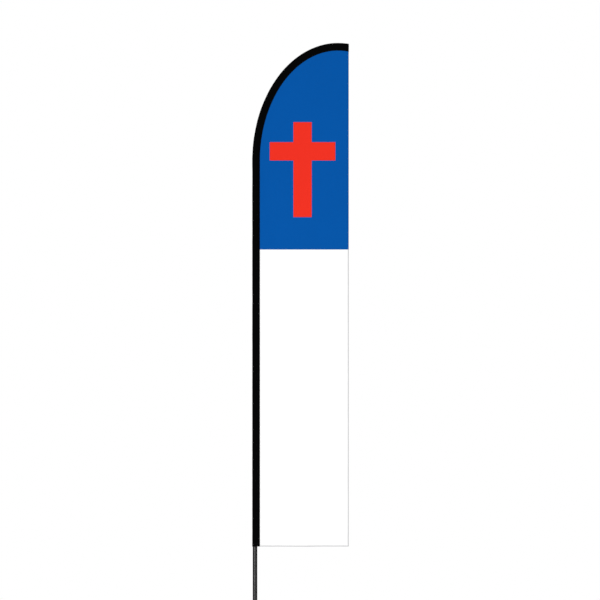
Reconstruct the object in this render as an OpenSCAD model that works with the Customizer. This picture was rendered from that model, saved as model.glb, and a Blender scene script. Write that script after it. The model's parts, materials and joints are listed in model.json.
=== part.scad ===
/*
  Feather flag on a telescoped pole, standing in a rotating ground spike.

  Origin: ground level, on the axis of the pole and the spindle.
  +Z up, +X from the pole towards the free edge of the flag, front face towards -Y.
  All sizes in millimetres.
*/

/* [Flag] */
// Height of the hem above the ground
hem_z = 387; // [360:1:420]
// Height at which the outer edge starts to bend over
bend_z = 2895; // [2880:5:2950]
// Height of the highest point of the flag
crest_z = 3660; // [3500:10:3750]
// Distance from the pole axis to the free edge
free_edge_x = 609; // [590:1:620]
// Distance from the pole axis to the crest
crest_x = 540; // [530:1:560]
// Height of the seam between the blue and the white panel
panel_seam_z = 2317; // [2100:1:2450]
// Thickness of the flag cloth
cloth = 0.8; // [0.6:0.1:1]
// Thickness of each cross that is sewn on the flag
applique_t = 0.4; // [0.3:0.1:0.6]

/* [Cross] */
// Distance from the pole axis to the centre of the cross
cross_x = 309; // [290:1:330]
// Height of the top of the cross
cross_top_z = 3145; // [3080:1:3160]
// Height of the cross
cross_h = 617; // [560:1:640]
// Width over both arms
cross_w = 426; // [360:1:440]
// Width of the upright and of the arms
cross_bar = 119; // [80:1:130]
// Distance from the top of the cross to the top of its arms
cross_drop = 130; // [110:1:160]

/* [Pole sleeve] */
// Width of the sleeve from its outer edge to the seam
sleeve_w = 50; // [48:1:54]
// Clearance between the lowest tube and the outside of the sleeve
sleeve_ease = 3; // [2.5:0.5:4]
// Radius of the sleeve's rounded edge at the tip of the flag
sleeve_tip_r = 9.5; // [9:0.5:12]

/* [Pole] */
// Outside diameter of the lowest tube
pole_d = 30; // [29:0.5:32]
// Wall of every tube
tube_wall = 1.5; // [1.2:0.1:1.6]
// Gap between one tube and the next, on the diameter
tube_gap = 0.2; // [0.1:0.05:0.4]
// Height of the top of the lowest tube
lower_top_z = 1180; // [1100:10:1250]
// Height of the top of the middle tube
middle_top_z = 2060; // [1960:10:2150]
// Height of the top of the upper tube
upper_top_z = 2860; // [2780:10:2880]
// Length that each tube is pushed into the one below
tube_overlap = 120; // [80:5:150]
// Diameter of the tip rod where it leaves the upper tube
rod_d = 14; // [12:0.5:15]
// Diameter of the tip rod at its thin end
rod_tip_d = 7; // [5:0.5:9]

/* [Spindle and spike] */
// Diameter of the spindle pin that the pole stands on
pin_d = 16; // [14:0.5:18]
// Height of the top of the spindle pin
pin_top_z = 285; // [250:5:300]
// Radial running clearance between the pin and the bushes
run_gap = 0.05; // [0.02:0.01:0.1]
// Length of the spike below ground
spike_l = 420; // [300:10:600]
// Diameter of the spike
spike_d = 16; // [12:1:20]
// Diameter of the foot plate
plate_d = 90; // [80:5:110]
// Thickness of the foot plate
plate_t = 4; // [3:0.5:5]

/* [Bearings] */
// Bore of a ball bearing
race_bore = 12; // [12:0.5:12.5]
// Outside diameter of a ball bearing
race_od = 28; // [27.5:0.5:28]
// Width of a ball bearing
race_w = 8; // [7.5:0.5:8]
// Number of balls in a bearing
ball_count = 8; // [6:1:9]
// Diameter of a ball
ball_d = 4.76; // [4:0.01:4.8]

/* [Tab button] */
// Height of the button that holds the tension tab
button_z = 345; // [335:1:355]
// Diameter of the button
button_d = 8; // [7:0.5:9]

/* [Hidden] */
$fn = 64;
seat_z = 35;
edge_break = 0.4;
housing_floor = 4;
lower_race_z = plate_t + housing_floor + race_w / 2;
race_gap = 2;
upper_race_z = lower_race_z + race_w + race_gap;
race_top_z = upper_race_z + race_w / 2;
circlip_t = 1.2;
circlip_groove = 0.6;
seal_t = 2.5;
seal_gap = 0.3;
housing_top_z = 30;
housing_r = 18;
collar_t = 4;
foot_flange = 3;
bush_l = 26;
guide_z = 254;
o_ring_d = 2.3;
o_ring_proud = 0.02;
o_ring_heights = [50, 267];
shoulder_r = 7;

tube_bore = pole_d - 2 * tube_wall;
middle_d = tube_bore - tube_gap;
middle_bore = middle_d - 2 * tube_wall;
upper_d = middle_bore - tube_gap;
upper_bore = upper_d - 2 * tube_wall;
middle_base_z = lower_top_z - tube_overlap;
upper_base_z = middle_top_z - tube_overlap;
rod_base_z = upper_top_z - tube_overlap;
stop_pin_d = 4;
collar_h = 22;
collar_lip = 3;

pitch_r = (race_bore + race_od) / 4;
ball_play = 0.05;
groove_r = ball_d / 2 + ball_play;
race_shoulder = 1.75;

nose_r = pole_d / 2 + sleeve_ease;
edge_x = -nose_r;
seam_x = edge_x + sleeve_w;
bend_rx = crest_x - edge_x;
bend_rz = crest_z - bend_z;
end_a = acos((free_edge_x - crest_x) / bend_rx);
bend_steps = 30;
bend_run = 1.6 * bend_rx;
nose_arc_steps = 12;
nose_taper = 1.3;
lean_from = 0.8;
seam_half_t = 1;
lining_half_t = 0.2;
lining_inset = 2.5;
end_patch_t = 1.2;
rod_sides = 12;
rod_end_gap = 12;
tip_cap_l = 24;

tab_w = 20;
tab_t = 1;
tab_play = 0.1;
tab_y = nose_r + tab_play;
tab_sewn_l = 45;
tab_top_z = hem_z + tab_sewn_l;
tab_drop = 24;
eyelet_r = 8;
eyelet_flange = 0.6;
eyelet_bore_r = button_d / 2 + 0.5;
button_seat_depth = 3.5;
button_reach = 4;
button_seat_y = tube_bore / 2 - button_seat_depth;
button_tip_y = tab_y + button_reach;

// ---------- outline of the flag ----------

function smooth(t) = let (c = min(max(t, 0), 1)) c * c * (3 - 2 * c);
function mix(a, b, t) = a + (b - a) * t;

// Share of the bend that has been passed at ellipse angle a
function passed(a) = (180 - a) / (180 - end_a);

// Point on the outer edge, direction along it, and direction from it into the cloth
function edge_point(a) = [crest_x + bend_rx * cos(a), bend_z + bend_rz * sin(a)];
function edge_dir(a) =
    let (v = [bend_rx * sin(a), -bend_rz * cos(a)]) v / norm(v);
function inward(a) = let (t = edge_dir(a)) [t.y, -t.x];

// Lean of the last stations, which turns the cut end upright at the free edge
end_lean = -edge_dir(end_a).y / edge_dir(end_a).x;
function lean(a) = end_lean * smooth((passed(a) - lean_from) / (1 - lean_from));

// Point that lies the distance d inside the outer edge
function inset_point(a, d) = edge_point(a) + d * inward(a) + d * lean(a) * edge_dir(a);

function bend_angles(steps) = [for (i = [0:steps]) mix(180, end_a, i / steps)];
function nose_at(a) = mix(nose_r, sleeve_tip_r, smooth(nose_taper * passed(a)));

// ---------- sweeps ----------

// Teardrop section: a rounded edge of radius r about [c, 0], drawn out to a flat seam
function teardrop(r, c, seam_d, half_t) =
    let (tangent_a = acos(r / (seam_d - c)))
    concat(
        [[seam_d, half_t]],
        [for (i = [0:nose_arc_steps])
            let (a = mix(tangent_a, 360 - tangent_a, i / nose_arc_steps))
            [c + r * cos(a), r * sin(a)]],
        [[seam_d, -half_t]]
    );

// A section of [depth, y] points set up at a station of the bend
function bend_ring(a, section) =
    [for (s = section) let (p = inset_point(a, s.x)) [p.x, s.y, p.y]];
function straight_ring(z, section) = [for (s = section) [edge_x + s.x, s.y, z]];

function outer_section(r) = teardrop(r, r, sleeve_w, seam_half_t);
function lining_section(r) =
    teardrop(r - cloth, r, sleeve_w - lining_inset, lining_half_t);

function flatten(rings) = [for (ring = rings) for (p = ring) p];

// Side faces between successive rings of m points, starting at point number base
function side_faces(count, m, base, flip) =
    [for (i = [0:count - 2]) for (j = [0:m - 1])
        let (
            k = (j + 1) % m,
            q = [base + i * m + j, base + (i + 1) * m + j,
                 base + (i + 1) * m + k, base + i * m + k]
        )
        flip ? [q[3], q[2], q[1], q[0]] : q];

// Open-ended tube between an outer and an inner set of rings
module hollow_sweep(outer, inner) {
    m = len(outer[0]);
    count = len(outer);
    shift = m * count;
    last = (count - 1) * m;
    rims = [for (j = [0:m - 1]) let (k = (j + 1) % m)
        each [[j, k, shift + k, shift + j],
              [last + k, last + j, shift + last + j, shift + last + k]]];
    polyhedron(
        points = concat(flatten(outer), flatten(inner)),
        faces = concat(
            side_faces(count, m, 0, false),
            side_faces(count, m, shift, true),
            rims
        )
    );
}

// Closed solid through a set of rings
module solid_sweep(rings) {
    m = len(rings[0]);
    count = len(rings);
    polyhedron(
        points = flatten(rings),
        faces = concat(
            side_faces(count, m, 0, false),
            [[for (j = [0:m - 1]) j]],
            [[for (j = [0:m - 1]) count * m - 1 - j]]
        )
    );
}

// ---------- small shapes that repeat ----------

module ring(outer_r, inner_r, z0, z1) {
    translate([0, 0, z0])
        difference() {
            cylinder(r = outer_r, h = z1 - z0);
            translate([0, 0, -1]) cylinder(r = inner_r, h = z1 - z0 + 2);
        }
}

// Solid disc with a small chamfer round both of its edges
module disc(r, z0, z1) {
    flat_r = r - edge_break;
    rotate_extrude()
        polygon([[0, z0], [flat_r, z0], [r, z0 + edge_break], [r, z1 - edge_break],
                 [flat_r, z1], [0, z1]]);
}

// Upright plate drawn as [x, z] points, from depth y0 to depth y1
module upright(y0, y1) {
    translate([0, y1, 0])
        rotate([90, 0, 0])
            linear_extrude(y1 - y0) children();
}

// Split ring with lugs, the shape of a spring clip
module circlip(outer_r, inner_r, z0, thickness, gap) {
    difference() {
        ring(outer_r, inner_r, z0, z0 + thickness);
        translate([0, -gap / 2, z0 - 1]) cube([outer_r + 1, gap, thickness + 2]);
    }
}

// Outline of a bent strip with its centre line through the points
function strip_side(line, offset) =
    [for (i = [0:len(line) - 1])
        let (
            before = line[max(i - 1, 0)],
            after = line[min(i + 1, len(line) - 1)],
            t = (after - before) / norm(after - before)
        )
        line[i] + offset * [-t.y, t.x]];
module strip(line, thickness) {
    forth = strip_side(line, thickness / 2);
    back = strip_side(line, -thickness / 2);
    polygon(concat(forth, [for (i = [len(back) - 1:-1:0]) back[i]]));
}

module ball_ring(z, radius) {
    for (i = [0:ball_count - 1])
        rotate([0, 0, i * 360 / ball_count])
            translate([pitch_r, 0, z])
                sphere(r = radius);
}

// Race of a bearing with its ball groove
module race(r0, r1, z) {
    translate([0, 0, z])
        rotate_extrude()
            difference() {
                translate([r0, -race_w / 2]) square([r1 - r0, race_w]);
                translate([pitch_r, 0]) circle(r = groove_r);
            }
}

// ---------- stake ----------

module ground_spike() {
    tip_l = 60;
    color("dimgray")
        rotate_extrude()
            polygon([[0, 0], [spike_d / 2, 0], [spike_d / 2, tip_l - spike_l],
                     [1, 1 - spike_l], [0, -spike_l]]);
}

module foot_plate() {
    chamfer = 1;
    r = plate_d / 2;
    color("dimgray")
        rotate_extrude()
            polygon([[0, 0], [r - edge_break, 0], [r, edge_break], [r, plate_t - chamfer],
                     [r - chamfer, plate_t], [0, plate_t]]);
}

module bearing_housing() {
    relief_r = 10.5;
    relief_floor = 1.5;
    groove_depth = 1;
    mouth_r = race_od / 2;
    color("gray")
        difference() {
            disc(housing_r, plate_t, housing_top_z);
            translate([0, 0, plate_t + relief_floor]) cylinder(r = relief_r, h = housing_top_z);
            translate([0, 0, plate_t + housing_floor]) cylinder(r = mouth_r, h = housing_top_z);
            translate([0, 0, race_top_z]) cylinder(r = mouth_r + groove_depth, h = circlip_t);
        }
}

module outer_races() {
    color("silver")
        for (z = [lower_race_z, upper_race_z])
            race(pitch_r + race_shoulder, race_od / 2, z);
}

module outer_spacer() {
    color("silver")
        ring(race_od / 2, pitch_r + race_shoulder, lower_race_z + race_w / 2,
             upper_race_z - race_w / 2);
}

module housing_circlip() {
    in_groove = 0.9;
    over_race = 1.6;
    gap = 6;
    color("darkgray")
        circlip(race_od / 2 + in_groove, race_od / 2 - over_race, race_top_z, circlip_t, gap);
}

module dust_seal() {
    color("black")
        ring(race_od / 2, shoulder_r + seal_gap, housing_top_z - seal_t, housing_top_z);
}

// ---------- spindle ----------

module spindle_shaft() {
    journal_base_z = plate_t + 2;
    o_ring_slack = 0.1;
    groove_half = o_ring_d / 2 + o_ring_slack;
    clip_z = lower_race_z - race_w / 2 - circlip_t;
    collar_z = seat_z - collar_t;
    collar_r = pole_d / 2;
    chamfer = 1.5;
    r = pin_d / 2;
    color("silver")
        difference() {
            rotate_extrude()
                polygon([
                    [0, journal_base_z], [race_bore / 2, journal_base_z],
                    [race_bore / 2, race_top_z], [shoulder_r, race_top_z],
                    [shoulder_r, collar_z], [collar_r - edge_break, collar_z],
                    [collar_r, collar_z + edge_break], [collar_r, seat_z - edge_break],
                    [collar_r - edge_break, seat_z], [r, seat_z], [r, pin_top_z - chamfer],
                    [r - chamfer, pin_top_z], [0, pin_top_z]
                ]);
            for (z = o_ring_heights)
                ring(r + 1, r - o_ring_d, z - groove_half, z + groove_half);
            ring(race_bore / 2 + 1, race_bore / 2 - circlip_groove, clip_z, clip_z + circlip_t);
        }
}

module inner_races() {
    color("silver")
        for (z = [lower_race_z, upper_race_z])
            race(race_bore / 2, pitch_r - race_shoulder, z);
}

module inner_spacer() {
    color("silver")
        ring(pitch_r - race_shoulder - seal_gap, race_bore / 2, lower_race_z + race_w / 2,
             upper_race_z - race_w / 2);
}

module spindle_circlip() {
    under_race = 2.2;
    gap = 5;
    color("darkgray")
        circlip(race_bore / 2 + under_race, race_bore / 2 - circlip_groove,
                lower_race_z - race_w / 2 - circlip_t, circlip_t, gap);
}

module spindle_o_rings() {
    color("black")
        for (z = o_ring_heights)
            translate([0, 0, z])
                rotate_extrude()
                    translate([(pin_d - o_ring_d) / 2 + o_ring_proud, 0])
                        circle(d = o_ring_d);
}

// ---------- rolling set ----------

module bearing_balls() {
    color("gainsboro")
        for (z = [lower_race_z, upper_race_z])
            ball_ring(z, ball_d / 2);
}

module ball_cages() {
    half_w = 3;
    half_t = 0.35;
    color("goldenrod")
        for (z = [lower_race_z, upper_race_z])
            difference() {
                ring(pitch_r + half_t, pitch_r - half_t, z - half_w, z + half_w);
                ball_ring(z, groove_r);
            }
}

// ---------- pole ----------

module foot_bush() {
    color("black")
        difference() {
            union() {
                disc(pole_d / 2, seat_z, seat_z + foot_flange);
                translate([0, 0, seat_z + foot_flange]) cylinder(d = tube_bore, h = bush_l);
            }
            translate([0, 0, seat_z - 1])
                cylinder(r = pin_d / 2 + run_gap, h = foot_flange + bush_l + 2);
        }
}

module guide_bush() {
    color("black")
        ring(tube_bore / 2, pin_d / 2 + run_gap, guide_z, guide_z + bush_l);
}

// Round bar across the pole along Y, for a pin or for the hole that takes one
module cross_bar_y(d, z, y0, y1) {
    translate([0, y1, z])
        rotate([90, 0, 0])
            cylinder(d = d, h = y1 - y0);
}

module lower_tube() {
    color("black")
        difference() {
            ring(pole_d / 2, tube_bore / 2, seat_z + foot_flange, lower_top_z);
            cross_bar_y(button_d + 1, button_z, 0, pole_d);
            cross_bar_y(stop_pin_d, middle_base_z - stop_pin_d / 2, -pole_d, pole_d);
        }
}

module middle_tube() {
    color("black")
        difference() {
            ring(middle_d / 2, middle_bore / 2, middle_base_z, middle_top_z);
            cross_bar_y(stop_pin_d, upper_base_z - stop_pin_d / 2, -pole_d, pole_d);
        }
}

module upper_tube() {
    color("black")
        ring(upper_d / 2, upper_bore / 2, upper_base_z, upper_top_z);
}

module stop_pins() {
    color("silver") {
        cross_bar_y(stop_pin_d, middle_base_z - stop_pin_d / 2, -pole_d / 2, pole_d / 2);
        cross_bar_y(stop_pin_d, upper_base_z - stop_pin_d / 2, -middle_d / 2, middle_d / 2);
    }
}

// Collar that trims the mouth of a tube and centres the next one
module joint_collar(tube_r, next_r, top_z) {
    wall = 1.2;
    ring(tube_r + wall, tube_r, top_z - collar_h, top_z);
    ring(tube_r + wall, next_r, top_z, top_z + collar_lip);
}

module joint_collars() {
    color("dimgray") {
        joint_collar(pole_d / 2, middle_d / 2, lower_top_z);
        joint_collar(middle_d / 2, upper_d / 2, middle_top_z);
    }
}

module rod_ferrules() {
    seat_l = 20;
    mouth_l = 30;
    color("silver") {
        ring(upper_bore / 2, rod_d / 2, rod_base_z, rod_base_z + seat_l);
        ring(upper_bore / 2, rod_d / 2, upper_top_z - mouth_l, upper_top_z);
        ring(upper_d / 2, rod_d / 2, upper_top_z, upper_top_z + collar_lip);
    }
}

// Ring of the rod, centred the distance c inside the outer edge
function rod_section(r, c) =
    [for (j = [0:rod_sides - 1])
        let (a = 360 * j / rod_sides) [c + r * cos(a), r * sin(a)]];
function rod_r_at(a) = mix(rod_d, rod_tip_d, passed(a)) / 2;

// Share of the bend at which the thin end of the rod stops, and where its cap begins
rod_end_share = 1 - rod_end_gap / bend_run;
cap_start_share = rod_end_share - tip_cap_l / bend_run;
rod_angles = [for (i = [0:bend_steps]) mix(180, end_a, rod_end_share * i / bend_steps)];

module tip_rod() {
    straight = [for (z = [rod_base_z, upper_top_z])
        straight_ring(z, rod_section(rod_d / 2, nose_r))];
    bent = [for (a = rod_angles) bend_ring(a, rod_section(rod_r_at(a), nose_at(a)))];
    color("black") solid_sweep(concat(straight, bent));
}

module tip_cap() {
    wall = 1.2;
    press_gap = 0.01;
    steps = 4;
    angles = [for (i = [0:steps])
        mix(180, end_a, mix(cap_start_share, rod_end_share, i / steps))];
    outer = [for (a = angles) bend_ring(a, rod_section(rod_r_at(a) + wall, nose_at(a)))];
    inner = [for (a = angles) bend_ring(a, rod_section(rod_r_at(a) + press_gap, nose_at(a)))];
    color("dimgray") hollow_sweep(outer, inner);
}

// ---------- flag ----------

module pole_sleeve() {
    outer = concat(
        [straight_ring(hem_z, outer_section(nose_r))],
        [for (a = bend_angles(bend_steps)) bend_ring(a, outer_section(nose_at(a)))]
    );
    lining = concat(
        [straight_ring(hem_z, lining_section(nose_r))],
        [for (a = bend_angles(bend_steps)) bend_ring(a, lining_section(nose_at(a)))]
    );
    color("black") hollow_sweep(outer, lining);
}

module sleeve_end_patch() {
    section = outer_section(sleeve_tip_r);
    outline = [for (s = section) let (p = inset_point(end_a, s.x)) [s.y, p.y]];
    color("black")
        translate([free_edge_x, 0, 0])
            rotate([90, 0, 90])
                linear_extrude(end_patch_t)
                    polygon(outline);
}

seam_curve = [for (a = bend_angles(bend_steps)) inset_point(a, sleeve_w)];

module blue_panel() {
    color([0, 0.25, 0.6])
        upright(-cloth / 2, cloth / 2)
            polygon(concat([[free_edge_x, panel_seam_z], [seam_x, panel_seam_z]], seam_curve));
}

module white_panel() {
    color("white")
        upright(-cloth / 2, cloth / 2)
            translate([seam_x, hem_z]) square([free_edge_x - seam_x, panel_seam_z - hem_z]);
}

module cross_outline() {
    translate([cross_x - cross_bar / 2, cross_top_z - cross_h]) square([cross_bar, cross_h]);
    translate([cross_x - cross_w / 2, cross_top_z - cross_drop - cross_bar])
        square([cross_w, cross_bar]);
}

module cross_front() {
    color([0.9, 0.2, 0.15])
        upright(-cloth / 2 - applique_t, -cloth / 2)
            cross_outline();
}

module cross_back() {
    color([0.9, 0.2, 0.15])
        upright(cloth / 2, cloth / 2 + applique_t)
            cross_outline();
}

// ---------- tension tab and its button ----------

module tension_tab() {
    base_z = button_z - tab_drop;
    color("black")
        difference() {
            translate([-tab_w / 2, tab_y, base_z]) cube([tab_w, tab_t, tab_top_z - base_z]);
            cross_bar_y(2 * eyelet_bore_r + 1, button_z, 0, 2 * pole_d);
        }
}

module tab_grommet() {
    y0 = tab_y - eyelet_flange;
    y1 = tab_y + tab_t + eyelet_flange;
    color("goldenrod")
        difference() {
            union() {
                cross_bar_y(2 * eyelet_r, button_z, y0, tab_y);
                cross_bar_y(2 * eyelet_bore_r + 1, button_z, y0, y1);
                cross_bar_y(2 * eyelet_r, button_z, tab_y + tab_t, y1);
            }
            cross_bar_y(2 * eyelet_bore_r, button_z, 0, 2 * pole_d);
        }
}

module snap_button() {
    flange_t = 1.5;
    flange_r = button_d / 2 + 1.5;
    r = button_d / 2;
    dome_r = 1.5;
    color("silver")
        translate([0, button_seat_y, button_z])
            rotate([-90, 0, 0])
                rotate_extrude()
                    union() {
                        square([flange_r, flange_t]);
                        square([r, button_tip_y - button_seat_y - dome_r]);
                        square([r - dome_r, button_tip_y - button_seat_y]);
                        translate([r - dome_r, button_tip_y - button_seat_y - dome_r])
                            circle(r = dome_r);
                    }
}

module button_spring() {
    strip_t = 0.8;
    strip_w = 8;
    fold_r = 4;
    fold_shift = 1;
    fold_z = button_z - 42;
    leg_base_z = button_z - 6;
    leg_top_z = button_z + 5;
    wall_gap = 1.2;
    near_y = button_seat_y - strip_t / 2;
    far_y = wall_gap - tube_bore / 2;
    fold_steps = 8;
    line = concat(
        [[near_y, leg_top_z], [near_y, leg_base_z]],
        [for (i = [0:fold_steps])
            let (a = mix(0, -180, i / fold_steps))
            [fold_r * cos(a) - fold_shift, fold_z + fold_r * sin(a)]],
        [[far_y, leg_base_z], [far_y, leg_top_z]]
    );
    color("gray")
        translate([-strip_w / 2, 0, 0])
            rotate([90, 0, 90])
                linear_extrude(strip_w)
                    strip(line, strip_t);
}

ground_spike();
foot_plate();
bearing_housing();
outer_races();
outer_spacer();
housing_circlip();
dust_seal();
spindle_shaft();
inner_races();
inner_spacer();
spindle_circlip();
spindle_o_rings();
bearing_balls();
ball_cages();
foot_bush();
guide_bush();
lower_tube();
middle_tube();
upper_tube();
stop_pins();
joint_collars();
rod_ferrules();
tip_rod();
tip_cap();
pole_sleeve();
sleeve_end_patch();
blue_panel();
white_panel();
cross_front();
cross_back();
tension_tab();
tab_grommet();
snap_button();
button_spring();
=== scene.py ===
"""Looks of a feather flag on its pole: cloth, sewing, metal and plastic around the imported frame.

Every size is in metres. +X runs from the pole to the free edge, +Z is up and the front faces -Y.
The flag's pieces are built flat in the plane y = 0 and then hung: each point is moved across that
plane by the sway that a cloth simulation gave the whole flag.
"""
import json
import math

import bpy
import numpy as np
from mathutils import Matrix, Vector, geometry, kdtree, noise


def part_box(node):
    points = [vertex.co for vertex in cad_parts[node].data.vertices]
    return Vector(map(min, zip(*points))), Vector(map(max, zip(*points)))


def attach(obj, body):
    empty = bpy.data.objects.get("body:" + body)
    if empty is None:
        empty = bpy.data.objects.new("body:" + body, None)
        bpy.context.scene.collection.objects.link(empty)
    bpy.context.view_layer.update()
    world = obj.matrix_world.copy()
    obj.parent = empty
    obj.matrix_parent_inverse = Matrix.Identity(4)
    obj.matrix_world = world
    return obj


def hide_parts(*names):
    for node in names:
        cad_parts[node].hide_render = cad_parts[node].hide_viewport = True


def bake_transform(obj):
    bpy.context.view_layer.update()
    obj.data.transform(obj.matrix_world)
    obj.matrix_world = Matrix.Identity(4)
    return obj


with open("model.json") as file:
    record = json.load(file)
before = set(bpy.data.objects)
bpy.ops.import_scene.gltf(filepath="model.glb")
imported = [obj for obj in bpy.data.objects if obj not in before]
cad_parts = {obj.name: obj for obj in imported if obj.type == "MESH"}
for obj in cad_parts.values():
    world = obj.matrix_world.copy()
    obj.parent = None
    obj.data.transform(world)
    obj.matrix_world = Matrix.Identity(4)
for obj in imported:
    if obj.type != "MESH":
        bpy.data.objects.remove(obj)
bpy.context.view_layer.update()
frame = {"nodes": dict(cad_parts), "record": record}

# ---------- sizes: the frame's boxes first, then what they don't say ----------

SLEEVE_LO, SLEEVE_HI = (Vector(c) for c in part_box("pole_sleeve"))
WHITE_LO, WHITE_HI = (Vector(c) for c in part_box("white_panel"))
CROSS_LO, CROSS_HI = (Vector(c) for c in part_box("cross_front"))
PLATE_LO, PLATE_HI = (Vector(c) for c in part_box("foot_plate"))
HOUSING_HI = Vector(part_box("bearing_housing")[1])
SPIKE_LO, SPIKE_HI = (Vector(c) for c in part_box("ground_spike"))
TAB_LO, TAB_HI = (Vector(c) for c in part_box("tension_tab"))
EYELET_LO, EYELET_HI = (Vector(c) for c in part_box("tab_grommet"))

HEM_Z = WHITE_LO.z
PANEL_SEAM_Z = WHITE_HI.z
SEAM_X = WHITE_LO.x
FREE_X = WHITE_HI.x
EDGE_X = SLEEVE_LO.x
CREST_Z = SLEEVE_HI.z
SLEEVE_W = SEAM_X - EDGE_X
NOSE_R = -EDGE_X

BEND_Z = 2.895
CREST_X = 0.540
TIP_NOSE_R = 0.0095
CROSS_BAR = 0.119
CROSS_DROP = 0.130

CLOTH_T = 0.0006
CROSS_T = 0.0005
HEM_W = 0.012
HEM_INSET = 0.0005
EDGE_THREAD_W = 0.006
CLOTH_STEP = 0.010
FIELD_STEP = 0.020
SWAY_LIMIT = 0.016

BEND_RX = CREST_X - EDGE_X
BEND_RZ = CREST_Z - BEND_Z
END_ANGLE = math.acos((FREE_X - CREST_X) / BEND_RX)

FLAG_BODY = "flag_pole"


# ---------- outline of the flag ----------

def smooth(t):
    t = np.clip(t, 0.0, 1.0)
    return t * t * (3 - 2 * t)


def passed(a):
    """Share of the bend that has been passed at ellipse angle a."""
    return (math.pi - a) / (math.pi - END_ANGLE)


def edge_point(a):
    return np.stack([CREST_X + BEND_RX * np.cos(a), BEND_Z + BEND_RZ * np.sin(a)], -1)


def edge_dir(a):
    v = np.stack([BEND_RX * np.sin(a), -BEND_RZ * np.cos(a)], -1)
    return v / np.linalg.norm(v, axis=-1, keepdims=True)


def inset_points(a, d):
    """Points the distance d inside the bend's outer edge; the last ones lean to end upright."""
    along = edge_dir(a)
    inward = np.stack([along[..., 1], -along[..., 0]], -1)
    end = edge_dir(np.array(END_ANGLE))
    lean = -end[1] / end[0] * smooth(5 * passed(a) - 4)
    d = np.asarray(d)[..., None]
    return edge_point(a) + d * inward + d * lean[..., None] * along


def seam_curve(inset, count=60):
    return inset_points(np.linspace(math.pi, END_ANGLE, count), np.full(count, inset))


def flag_outline(z0, z1, tuck=0.0, inset=0.0):
    """Outline of the cloth between two heights, tucked into the sleeve and inset at the free edge."""
    x0, x1 = SEAM_X - tuck, FREE_X - inset
    if z1 <= BEND_Z:
        return np.array([[x0, z0], [x1, z0], [x1, z1], [x0, z1]])
    curve = seam_curve(SLEEVE_W - tuck)
    curve[:, 0] = np.minimum(curve[:, 0], x1)
    return np.concatenate([[[x0, z0], [x1, z0]], curve[::-1]])


def cross_outline(grow=0.0):
    """The cross's twelve corners, counter-clockwise, pushed out by grow."""
    mid_x = (CROSS_LO.x + CROSS_HI.x) / 2
    arm_hi = CROSS_HI.z - CROSS_DROP
    arm_lo = arm_hi - CROSS_BAR
    half = CROSS_BAR / 2 + grow
    x0, x1 = CROSS_LO.x - grow, CROSS_HI.x + grow
    z0, z1 = CROSS_LO.z - grow, CROSS_HI.z + grow
    a0, a1 = arm_lo - grow, arm_hi + grow
    return np.array([
        [mid_x - half, z0], [mid_x + half, z0], [mid_x + half, a0], [x1, a0],
        [x1, a1], [mid_x + half, a1], [mid_x + half, z1], [mid_x - half, z1],
        [mid_x - half, a1], [x0, a1], [x0, a0], [mid_x - half, a0],
    ])


# ---------- mesh helpers ----------

def add_mesh(name, verts, faces, sharp_angle=50):
    mesh = bpy.data.meshes.new(name)
    mesh.from_pydata([tuple(v) for v in verts], [], [tuple(int(i) for i in f) for f in faces])
    mesh.validate()
    mesh.polygons.foreach_set("use_smooth", [True] * len(mesh.polygons))
    mesh.set_sharp_from_angle(angle=math.radians(sharp_angle))
    mesh.update()
    obj = bpy.data.objects.new(name, mesh)
    bpy.context.scene.collection.objects.link(obj)
    return obj


def finish_piece(obj, slot):
    """Gives a piece of the flag its slot's material and lets it ride on the pole's body."""
    obj.data.materials.append(MATERIALS[slot])
    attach(obj, FLAG_BODY)


def resample(line, step, closed=False):
    """Points along a polyline at an even step, its corners kept."""
    line = np.asarray(line, float)
    ends = np.roll(line, -1, 0) if closed else line[1:]
    out = []
    for a, b in zip(line if closed else line[:-1], ends):
        n = max(1, round(np.linalg.norm(b - a) / step))
        out += [a + (b - a) * i / n for i in range(n)]
    if not closed:
        out.append(line[-1])
    return np.array(out)


def inside(points, outline):
    """True for each point that lies in the outline, by counting crossings."""
    x, z = points[:, 0], points[:, 1]
    hit = np.zeros(len(points), bool)
    for (x0, z0), (x1, z1) in zip(outline, np.roll(outline, -1, 0)):
        if z0 == z1:
            continue
        crosses = (z0 > z) != (z1 > z)
        hit ^= crosses & (x < x0 + (z - z0) * (x1 - x0) / (z1 - z0))
    return hit


def search_tree(points):
    """A tree that finds the nearest of some (x, z) points."""
    tree = kdtree.KDTree(len(points))
    for i, (x, z) in enumerate(points):
        tree.insert((x, z, 0), i)
    tree.balance()
    return tree


def flat_mesh(outline, step):
    """Even triangles over an outline: points, and faces turned counter-clockwise."""
    rim = resample(outline, step, closed=True)
    lo, hi = rim.min(0), rim.max(0)
    row_h = step * math.sqrt(3) / 2
    rows = int((hi[1] - lo[1]) / row_h) + 1
    lattice = []
    for r in range(rows):
        xs = np.arange(lo[0] + (r % 2) * step / 2, hi[0], step)
        lattice.append(np.stack([xs, np.full(len(xs), lo[1] + r * row_h)], -1))
    lattice = np.concatenate(lattice)
    lattice = lattice[inside(lattice, rim)]
    near = search_tree(rim)
    far = [near.find((x, z, 0))[2] > 0.55 * step for x, z in lattice]
    points = np.concatenate([rim, lattice[np.array(far)]])
    edges = [(i, (i + 1) % len(rim)) for i in range(len(rim))]
    verts, _, faces, *_ = geometry.delaunay_2d_cdt(
        [Vector(p) for p in points], edges, [], 1, 1e-6
    )
    return np.array([tuple(v) for v in verts]), faces


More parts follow.
